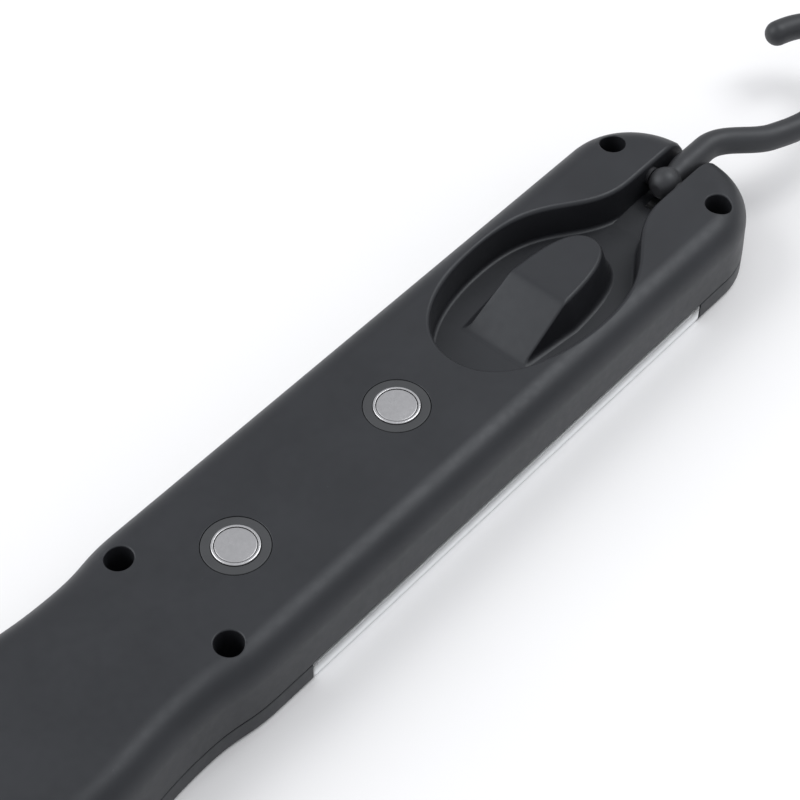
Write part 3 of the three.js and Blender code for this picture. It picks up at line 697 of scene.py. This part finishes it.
def eased(profile, corner, ease, steps=3):
    """The profile with the corner at that index rounded over."""
    before, at, after = (np.array(profile[corner + i], float) for i in (-1, 0, 1))
    start = at + (before - at) / np.linalg.norm(before - at) * ease
    end = at + (after - at) / np.linalg.norm(after - at) * ease
    t = np.arange(steps + 1)[:, None] / steps
    curve = (1 - t) ** 2 * start + 2 * (1 - t) * t * at + t * t * end
    return [*profile[:corner], *[tuple(p) for p in curve], *profile[corner + 1 :]]


def make_holder(node):
    bottom, top = spans(node)[2]
    profile = [(0, bottom), (HOLDER_R, bottom), (HOLDER_R, HOLDER_FLANGE_Z[0])]
    profile += [(HOLDER_FLANGE_R, z) for z in HOLDER_FLANGE_Z]
    profile += [(HOLDER_R, HOLDER_FLANGE_Z[1]), (HOLDER_R, top), (HOLDER_BORE_R, top)]
    profile += [(HOLDER_BORE_R, HOLDER_BORE_Z), (0, HOLDER_BORE_Z)]
    profile = eased(profile, 7, 0.25)
    profile = eased(profile, 6, 0.3)
    return new_object("holder", turned(profile, *centre_of(node), 96))


def make_pot(node):
    x, y = centre_of(node)
    radius = spans(node)[0][1] - x
    bottom, top = spans(node)[2]
    inner, floor = radius - POT_WALL, bottom + 1
    profile = [(0, bottom), (radius, bottom), (radius, top)]
    profile += [(inner, top), (inner, floor), (0, floor)]
    profile = eased(profile, 3, 0.12, 2)
    profile = eased(profile, 2, 0.3)
    return new_object("pot", turned(profile, x, y, 96))


def make_magnet(node):
    x, y = centre_of(node)
    radius = spans(node)[0][1] - x
    bottom, top = spans(node)[2]
    face = top - 0.06
    profile = [(0, bottom), (radius, bottom), (radius, face), (0, face)]
    return new_object("disc", turned(eased(profile, 2, 0.28), x, y, 96))


# ---- screws ----


def make_screw(node):
    """A pan-head screw with a threaded shaft and a tapered cross in its head."""
    x, y = centre_of(node)
    tip, top = spans(node)[2]
    seat = COUNTERBORE_Z + 0.05
    profile = [(0, tip), (0.7, tip), (SHAFT_R, tip + 1.2)]
    z = tip + 1.6
    while z < seat - 1.4:
        profile += [(SHAFT_R, z), (THREAD_ROOT_R, z + 0.25), (THREAD_ROOT_R, z + 0.55)]
        profile += [(SHAFT_R, z + 0.8)]
        z += THREAD_PITCH
    profile += [(SHAFT_R, seat - 0.2), (SHAFT_R, seat), (SCREW_HEAD_R - 0.1, seat)]
    profile += [(SCREW_HEAD_R, seat + 0.15), (SCREW_HEAD_R, seat + 0.9)]
    profile += arc_profile((SCREW_HEAD_R - 1.1, top - 1.1), 1.1, 0, 90, 5)
    profile += [(0, top)]
    screw = new_object("screw", turned(profile, x, y, 40))
    for half_x, half_y in (CROSS_SLOT, CROSS_SLOT[::-1]):
        rings = []
        for z, share in ((top - 1.3, 0.62), (top + 0.3, 1.04)):
            a, b = half_x * share, half_y * share
            rings.append([(x - a, y - b, z), (x + a, y - b, z)])
            rings[-1] += [(x + a, y + b, z), (x - a, y + b, z)]
        combine(screw, "DIFFERENCE", loft(rings))
    return screw


# ---- hook ----


def hook_radius(x):
    """The ball, its neck and then the rod."""
    share = min(max((x - 3.6) / 5, 0), 1)
    rod = NECK_R + (ROD_R - NECK_R) * share * share * (3 - 2 * share)
    ball = math.sqrt(max(BALL_R**2 - x * x, 0.01))
    if x < 0:
        return ball
    blend = 10
    return min((ball**blend + rod**blend) ** (1 / blend), BALL_R)


def hook_line():
    """Points along the hook's centre line in the loop's plane, from its ball."""
    neck, root = (HOOK_NECK_END, 0), (HOOK_ROOT_END, 0)
    wide = BALL[0] - LEAF_X
    crown = BALL[0] - CROWN_X - HOOK_CROWN_GAP
    before, at, after = [(wide + by, -HOOK_SIDE) for by in (-9, 0, 16)]
    stretches = [
        straight((-BALL_R + 0.02, 0), neck, 50),
        straight(neck, root, 10),
        cubic(root, *HOOK_BEND, 26),
        cubic(HOOK_BEND[-1], HOOK_SHOULDER, before, at, 18),
        cubic(at, after, (crown, -11.4), (crown, 0), 24),
        cubic((crown, 0), (crown, 6.6), *HOOK_TIP, 18),
    ]
    points = np.vstack([points for points, tangents in stretches])
    tangents = np.vstack([tangents for points, tangents in stretches])
    radii = [hook_radius(x) for x in points[:, 0]]
    end, run = points[-1], tangents[-1]
    for step in range(1, 11):
        turn = math.radians(9 * step)
        points = np.vstack([points, end + run * ROD_R * math.sin(turn)])
        tangents = np.vstack([tangents, run])
        radii.append(max(ROD_R * math.cos(turn), 0.03))
    return points, tangents, radii


def make_hook():
    points, tangents, radii = hook_line()
    sides = 40
    rings = []
    for (x, y), (tx, ty), radius in zip(points, tangents, radii):
        ring = []
        for i in range(sides):
            turn = 2 * math.pi * i / sides
            reach = radius + (HOOK_SEAM if i in (0, sides // 2) and radius > 1 else 0)
            out, up = reach * math.cos(turn), reach * math.sin(turn)
            ring.append((BALL[0] + x + ty * out, y - tx * out, BALL[1] + up))
        rings.append(ring)
    return new_object("hook_skin", loft(rings))


def make_cup(node):
    """A round cup that faces the ball along Y."""
    span = spans(node)[1]
    side = 1 if span[1] > 0 else -1
    rim, outer = sorted(abs(y) for y in span)
    bowl = BALL_R + BALL_GAP
    profile = [(radius, math.sqrt(bowl**2 - radius**2)) for radius in (0.01, 1, 1.7, CUP_R - 0.25)]
    profile += [(CUP_R, rim + 0.55), (CUP_R, outer - 0.2), (CUP_R - 0.2, outer), (0.01, outer)]
    rings = [ring_about_ball(radius, side * reach, 40) for radius, reach in profile]
    return new_object("cup", loft(rings))


# ---- button, indicator and socket cover ----


def make_button():
    """A dished rubber button with two moulded rings, its flange and its stem."""
    face, top = spans("power_button")[2]
    rings = [(0, 0.3), (1.6, 0.3), (1.8, 0.42), (2.0, 0.3), (3.2, 0.24), (3.4, 0.36), (3.6, 0.2)]
    rings += [(4.6, 0.06), (5.4, 0), (5.8, 0.1), (BUTTON_R, 0.4)]
    low, high = BUTTON_FLANGE_Z
    profile = [(radius, face + dish) for radius, dish in rings]
    profile += [(BUTTON_R, low), (BUTTON_FLANGE_R, low), (BUTTON_FLANGE_R, high)]
    profile += [(BUTTON_STEM_R, high), (BUTTON_STEM_R, top), (0, top)]
    return new_object("button", turned(profile, *centre_of("power_button"), 72))


def make_indicator():
    """A light pipe with a domed end and a flange."""
    face, top = spans("indicator_light_pipe")[2]
    turns = [math.radians(a) for a in (1, 30, 60, 90)]
    low, high = PIPE_FLANGE_Z
    profile = [(PIPE_R * math.sin(a), face + 0.5 * (1 - math.cos(a))) for a in turns]
    profile += [(PIPE_R, low), (PIPE_FLANGE_R, low), (PIPE_FLANGE_R, high)]
    profile += [(PIPE_R, high), (PIPE_R, top), (0, top)]
    return new_object("pipe", turned(profile, *centre_of("indicator_light_pipe"), 40))


def make_cover():
    """A flap with rounded edges, its plug behind it and a finger lip at its free end."""
    x, (plug_end, outer), z = spans("usb_cover")
    face = outer - COVER_LIP
    plug_y, lip_y = (plug_end, face - 0.75), (face - 0.45, outer)
    lip_x = (x[1] - 1.6, x[1] - 0.6)
    plate = new_object("cover", rounded_slab(x, z, (face - 1, face), 1.6, 0.3))
    combine(plate, "UNION", rounded_slab(PLUG_X, PLUG_Z, plug_y, 0.7, 0.15))
    combine(plate, "UNION", rounded_slab(lip_x, COVER_LIP_Z, lip_y, 0.45, 0.2))
    return plate


# ---- materials ----


def nodes_of(name):
    """A new material, its node tree and its shader."""
    material = bpy.data.materials.new(name)
    material.use_nodes = True
    tree = material.node_tree
    return material, tree, tree.nodes["Principled BSDF"]


def add(tree, kind, **values):
    """A shader node; in_From_Min sets its input From Min, and any other name a property."""
    node = tree.nodes.new(kind)
    for key, value in values.items():
        if key.startswith("in_"):
            node.inputs[key[3:].replace("_", " ")].default_value = value
        else:
            setattr(node, key, value)
    return node


def noise(tree, place, scale, detail, roughness=0.55):
    texture = add(tree, "ShaderNodeTexNoise", in_Scale=scale, in_Detail=detail)
    texture.inputs["Roughness"].default_value = roughness
    tree.links.new(place.outputs["Vector"], texture.inputs["Vector"])
    return texture.outputs["Fac"]


def remap(tree, value, low, high, to_low, to_high):
    mapped = add(tree, "ShaderNodeMapRange", in_From_Min=low, in_From_Max=high)
    mapped.inputs["To Min"].default_value = to_low
    mapped.inputs["To Max"].default_value = to_high
    tree.links.new(value, mapped.inputs["Value"])
    return mapped.outputs["Result"]


def arithmetic(tree, operation, *values):
    """A math node over numbers and sockets."""
    node = add(tree, "ShaderNodeMath", operation=operation)
    for value, socket in zip(values, node.inputs):
        if isinstance(value, (int, float)):
            socket.default_value = value
        else:
            tree.links.new(value, socket)
    return node.outputs["Value"]


def paint(tree, shader, share, dark, light):
    """Blends the base colour from dark to light as the share rises."""
    mix = add(tree, "ShaderNodeMix", data_type="RGBA")
    tree.links.new(share, mix.inputs["Factor"])
    mix.inputs["A"].default_value = (*dark, 1)
    mix.inputs["B"].default_value = (*light, 1)
    tree.links.new(mix.outputs["Result"], shader.inputs["Base Color"])


def roughen(tree, shader, value, low, high, span=(0.3, 0.7)):
    """Takes the roughness from low to high as the value crosses its span."""
    tree.links.new(remap(tree, value, *span, low, high), shader.inputs["Roughness"])


def millimetres(tree):
    """The piece's own coordinates in millimetres."""
    place = add(tree, "ShaderNodeTexCoord")
    scaled = add(tree, "ShaderNodeMapping", in_Scale=(1000, 1000, 1000))
    tree.links.new(place.outputs["Object"], scaled.inputs["Vector"])
    return scaled


def bump(tree, shader, height, strength, distance):
    node = add(tree, "ShaderNodeBump", in_Strength=strength, in_Distance=distance)
    tree.links.new(height, node.inputs["Height"])
    tree.links.new(node.outputs["Normal"], shader.inputs["Normal"])


def edge_mask(tree, radius):
    """Rises from 0 on flat stretches to 1 on corners."""
    rounded = add(tree, "ShaderNodeBevel", samples=4, in_Radius=radius * MM)
    plain = add(tree, "ShaderNodeNewGeometry")
    dot = add(tree, "ShaderNodeVectorMath", operation="DOT_PRODUCT")
    tree.links.new(rounded.outputs["Normal"], dot.inputs[0])
    tree.links.new(plain.outputs["Normal"], dot.inputs[1])
    return remap(tree, dot.outputs["Value"], 0.995, 0.85, 0, 1)


def satin(name, colour, light_tone, rough, grain=9.0, depth=0.012, specks=False, edges=0.35):
    """Moulded plastic: fine grain, cloudy gloss, corners a little lighter in colour."""
    material, tree, shader = nodes_of(name)
    shader.inputs["Specular Tint"].default_value = (0.92, 0.96, 1, 1)
    place = millimetres(tree)
    cloud = noise(tree, place, 0.05, 4)
    fine = noise(tree, place, grain, 2, 0.6)
    share = remap(tree, cloud, 0.35, 0.65, 0, 0.35)
    # Corners within the edge radius are blended towards the lighter colour.
    if edges:
        share = arithmetic(tree, "MULTIPLY_ADD", edge_mask(tree, edges), 0.5, share)
    if specks:
        cells = add(tree, "ShaderNodeTexVoronoi", in_Scale=0.11, in_Randomness=1.0)
        tree.links.new(place.outputs["Vector"], cells.inputs["Vector"])
        dot = remap(tree, cells.outputs["Distance"], 0.016, 0.03, 1.6, 0)
        share = arithmetic(tree, "ADD", share, dot)
    paint(tree, shader, share, colour, light_tone)
    roughen(tree, shader, noise(tree, place, 0.4, 3), rough - 0.035, rough + 0.035)
    bump(tree, shader, fine, 0.35, depth * MM)
    return material


def metal(name, colour, light_tone, rough, turned_marks=None):
    """Plated metal with fine marks and uneven polish."""
    material, tree, shader = nodes_of(name)
    shader.inputs["Metallic"].default_value = 1
    place = millimetres(tree)
    if turned_marks:
        shift = add(tree, "ShaderNodeVectorMath", operation="SUBTRACT")
        shift.inputs[1].default_value = turned_marks
        tree.links.new(place.outputs["Vector"], shift.inputs[0])
        rings = add(tree, "ShaderNodeTexWave", wave_type="RINGS", rings_direction="Z", in_Scale=1.4)
        rings.inputs["Distortion"].default_value = 1.2
        rings.inputs["Detail"].default_value = 3
        tree.links.new(shift.outputs["Vector"], rings.inputs["Vector"])
        marks = rings.outputs["Fac"]
    else:
        marks = noise(tree, place, 6, 3)
    blotch = noise(tree, place, 0.8, 4)
    paint(tree, shader, remap(tree, blotch, 0.3, 0.7, 0, 1), colour, light_tone)
    roughen(tree, shader, marks, rough - 0.05, rough + 0.06, (0, 1))
    bump(tree, shader, marks, 0.25, METAL_MARK * MM)
    return material


def clear(name, colour, rough, painted_glow_side):
    """Clear plastic. Past the given distance from the middle it turns milky, most of all near the
    floor: a painted glow, standing in for the floor's light shining out through the lens's lower
    edge.
    """
    material, tree, shader = nodes_of(name)
    shader.inputs["IOR"].default_value = 1.5
    shader.inputs["Transmission Weight"].default_value = 1
    place = millimetres(tree)
    cloud = noise(tree, place, 0.25, 3)
    light = tuple(min(c * 1.04, 1) for c in colour)
    paint(tree, shader, cloud, colour, light)
    roughen(tree, shader, cloud, rough, rough + 0.05)
    bump(tree, shader, noise(tree, place, 1.2, 2), 0.1, 0.01 * MM)
    axes = add(tree, "ShaderNodeSeparateXYZ")
    tree.links.new(place.outputs["Vector"], axes.inputs["Vector"])
    away = arithmetic(tree, "ABSOLUTE", axes.outputs["Y"])
    inner = remap(tree, away, painted_glow_side - 0.5, painted_glow_side, 1, 0)
    # Painted glow: near the floor the lens's side lets less light through and shows milky white,
    # standing in for floor light shining out of its edge.
    clear_with_height = remap(tree, axes.outputs["Z"], 2.4, 5.4, 0.04, 0.8)
    clear_over_painted_glow = arithmetic(tree, "MAXIMUM", inner, clear_with_height)
    tree.links.new(clear_over_painted_glow, shader.inputs["Transmission Weight"])
    return material


def grid_dots(name, base, dot, pitch, size, rough):
    """A surface with a regular grid of round spots, as seen on LED strips."""
    material, tree, shader = nodes_of(name)
    place = millimetres(tree)
    cells = add(tree, "ShaderNodeTexVoronoi", in_Scale=1 / pitch, in_Randomness=0.0)
    tree.links.new(place.outputs["Vector"], cells.inputs["Vector"])
    spot = remap(tree, cells.outputs["Distance"], size, size + 0.08, 1, 0)
    paint(tree, shader, spot, base, dot)
    roughen(tree, shader, noise(tree, place, 3, 3), rough - 0.05, rough + 0.08)
    bump(tree, shader, spot, 0.3, 0.05 * MM)
    return material


# Each row gives the colour, the lighter colour for random tone, specks and corners, the roughness
# and any other settings.
SATINS = {
    "case_plastic": ((0.0125, 0.013, 0.0155), (0.025, 0.026, 0.03), 0.45, {"specks": True}),
    "hook_plastic": ((0.026, 0.0265, 0.029), (0.038, 0.039, 0.042), 0.48, {"grain": 6}),
    "holder_plastic": ((0.04, 0.041, 0.043), (0.06, 0.061, 0.064), 0.5, {}),
    "inner_plastic": ((0.02, 0.02, 0.022), (0.035, 0.035, 0.038), 0.55, {"edges": 0}),
    "seal_rubber": ((0.01, 0.01, 0.011), (0.02, 0.02, 0.021), 0.8, {"edges": 0}),
    "button_rubber": ((0.022, 0.022, 0.024), (0.04, 0.04, 0.042), 0.7, {"grain": 5, "depth": 0.03}),
    "white_reflector": ((0.82, 0.82, 0.81), (0.88, 0.88, 0.87), 0.3, {"edges": 0}),
    "board_aluminium": ((0.75, 0.76, 0.74), (0.85, 0.85, 0.84), 0.4, {"edges": 0}),
    "cell_wrap": ((0.03, 0.13, 0.34), (0.05, 0.2, 0.45), 0.3, {"edges": 0}),
    "red_insulation": ((0.42, 0.012, 0.012), (0.5, 0.03, 0.03), 0.45, {"edges": 0}),
    "black_insulation": ((0.012, 0.012, 0.013), (0.03, 0.03, 0.03), 0.45, {"edges": 0}),
}
METALS = {
    "magnet_nickel": ((0.55, 0.55, 0.56), (0.62, 0.62, 0.63), 0.3),
    "screw_steel": ((0.09, 0.09, 0.095), (0.16, 0.16, 0.165), 0.38),
    "spring_steel": ((0.2, 0.2, 0.21), (0.28, 0.28, 0.285), 0.3),
    "contact_nickel": ((0.6, 0.6, 0.58), (0.7, 0.7, 0.68), 0.3),
    "socket_steel": ((0.5, 0.5, 0.51), (0.6, 0.6, 0.61), 0.32),
}
MAGNET_FACE = ((0.42, 0.42, 0.43), (0.455, 0.455, 0.465), 0.42)
# The lens plastic's colour and roughness; where the lens turns milky near the floor this colour
# shows as painted glow.
CLEAR_PLASTIC = ((0.93, 0.95, 0.96), 0.04)
# Each row gives the colour, the dots' colour, their pitch and size, and the roughness.
DOTTED = {
    "led_phosphor": ((0.8, 0.62, 0.1), (0.62, 0.4, 0.04), 2.2, 0.24, 0.35),
    "circuit_board": ((0.015, 0.1, 0.045), (0.35, 0.3, 0.12), 2.54, 0.14, 0.4),
}


def make_materials():
    # The lens's side turns milky, as painted glow, from 1 mm inside its outside.
    made = {"clear_lens": clear("clear_lens", *CLEAR_PLASTIC, HALF_WIDTH - 1)}
    for name, row in DOTTED.items():
        made[name] = grid_dots(name, *row)
    for name, (colour, light_tone, rough, settings) in SATINS.items():
        made[name] = satin(name, colour, light_tone, rough, **settings)
    for name, row in METALS.items():
        made[name] = metal(name, *row)
    for i in (1, 2):
        name = f"magnet_face_{i}"
        made[name] = metal(name, *MAGNET_FACE, (*centre_of(f"magnet_{i}"), 0))
    return made


# ---- assembly ----


def place_piece(made, node, material, smooth=35):
    """Finishes a piece and puts it in its CAD node's place, on that node's body."""
    made.name = f"visual_{node}"
    made.data.materials.clear()
    made.data.materials.append(material)
    for face in made.data.polygons:
        face.material_index = 0
    soften(made, smooth)
    record = frame["record"]
    body = next(b for b, members in record["behaviour"]["bodies"].items() if node in members)
    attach(made, body)
    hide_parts(node)


def dress_cad_nodes(materials):
    """The CAD nodes that stay get their slot's material."""
    for part in frame["record"]["subparts"]:
        node = frame["nodes"][part["node"]]
        if node.hide_render:
            continue
        node.data.materials.clear()
        node.data.materials.append(materials[part["material_slot"]])


# ---- stage, lights and camera ----

FLOOR_SPAN = (-4000, 4000)
FLOOR_Z = (-20, -0.02)


def make_stage():
    material, tree, shader = nodes_of("pale_floor")
    place = millimetres(tree)
    cloud = remap(tree, noise(tree, place, 0.004, 3), 0.3, 0.7, 0, 1)
    paint(tree, shader, cloud, (0.9, 0.9, 0.905), (0.925, 0.925, 0.93))
    roughen(tree, shader, noise(tree, place, 0.05, 3), 0.5, 0.6)
    floor = new_object("floor", loft([box_ring(FLOOR_SPAN, FLOOR_SPAN, z, 50) for z in FLOOR_Z]))
    floor.data.materials.append(material)


# Each row gives the light's name, its place, where it aims, its side and its power.
LIGHTS = [
    ("overhead", (640, -200, 1040), (60, 0, 0), 680, 5.4),
    ("left", (-560, 780, 830), (0, 0, 0), 900, 7.4),
]


def area_light(name, place, aim, side, power):
    light = bpy.data.lights.new(name, "AREA")
    light.shape = "RECTANGLE"
    light.size = light.size_y = side * MM
    light.energy = power
    made = bpy.data.objects.new(name, light)
    made.location = Vector(place) * MM
    made.rotation_euler = (Vector(aim) - Vector(place)).to_track_quat("-Z", "Y").to_euler()
    bpy.context.scene.collection.objects.link(made)


def make_lights():
    world = bpy.data.worlds.new("studio")
    world.use_nodes = True
    background = world.node_tree.nodes["Background"]
    background.inputs["Color"].default_value = (0.96, 0.97, 1, 1)
    background.inputs["Strength"].default_value = 0.62
    bpy.context.scene.world = world
    for name, place, aim, side, power in LIGHTS:
        area_light(name, place, aim, side, power)


CAMERA_PLACE = (-236.6, -232.0, 441.0)
CAMERA_AZIMUTH = -48.62
CAMERA_ELEVATION = 49.81
CAMERA_LENS = 98.8


def make_camera():
    camera = bpy.data.cameras.new("camera")
    camera.lens = CAMERA_LENS
    camera.sensor_width = 36
    camera.clip_start = 0.01
    camera.clip_end = 20
    made = bpy.data.objects.new("camera", camera)
    made.location = Vector(CAMERA_PLACE) * MM
    a, e = math.radians(CAMERA_AZIMUTH), math.radians(CAMERA_ELEVATION)
    back = Vector((math.sin(a) * math.cos(e), -math.cos(a) * math.cos(e), math.sin(e)))
    right = Vector((math.cos(a), math.sin(a), 0))
    up = back.cross(right)
    made.rotation_euler = Matrix((right, up, back)).transposed().to_euler()
    bpy.context.scene.collection.objects.link(made)
    bpy.context.scene.camera = made


# ---- the whole scene ----


def build():
    materials = make_materials()
    place_piece(make_back_shell(), "back_shell", materials["case_plastic"], 30)
    place_piece(make_front_shell(), "front_shell", materials["case_plastic"], 30)
    place_piece(make_lens(), "lens", materials["clear_lens"], 30)
    place_piece(make_tray(), "reflector_tray", materials["white_reflector"], 30)
    place_piece(make_led_board(), "led_board", materials["board_aluminium"], 30)
    for i in (1, 2):
        strip, holder, pot, disc = (
            f"{kind}_{i}" for kind in ("cob_strip", "magnet_holder", "magnet_pot", "magnet")
        )
        place_piece(make_led_strip(strip), strip, materials["led_phosphor"], 50)
        place_piece(make_holder(holder), holder, materials["holder_plastic"])
        place_piece(make_pot(pot), pot, materials["magnet_nickel"])
        place_piece(make_magnet(disc), disc, materials[f"magnet_face_{i}"])
    for i in range(1, 7):
        screw = f"case_screw_{i}"
        place_piece(make_screw(screw), screw, materials["screw_steel"])
    place_piece(make_hook(), "hook", materials["hook_plastic"], 60)
    for cup in ("ball_cup_left", "ball_cup_right"):
        place_piece(make_cup(cup), cup, materials["inner_plastic"])
    place_piece(make_button(), "power_button", materials["button_rubber"], 50)
    place_piece(make_indicator(), "indicator_light_pipe", materials["clear_lens"])
    place_piece(make_cover(), "usb_cover", materials["button_rubber"], 50)
    dress_cad_nodes(materials)


bpy.context.scene.view_settings.view_transform = "Standard"
make_stage()
make_lights()
make_camera()
build()
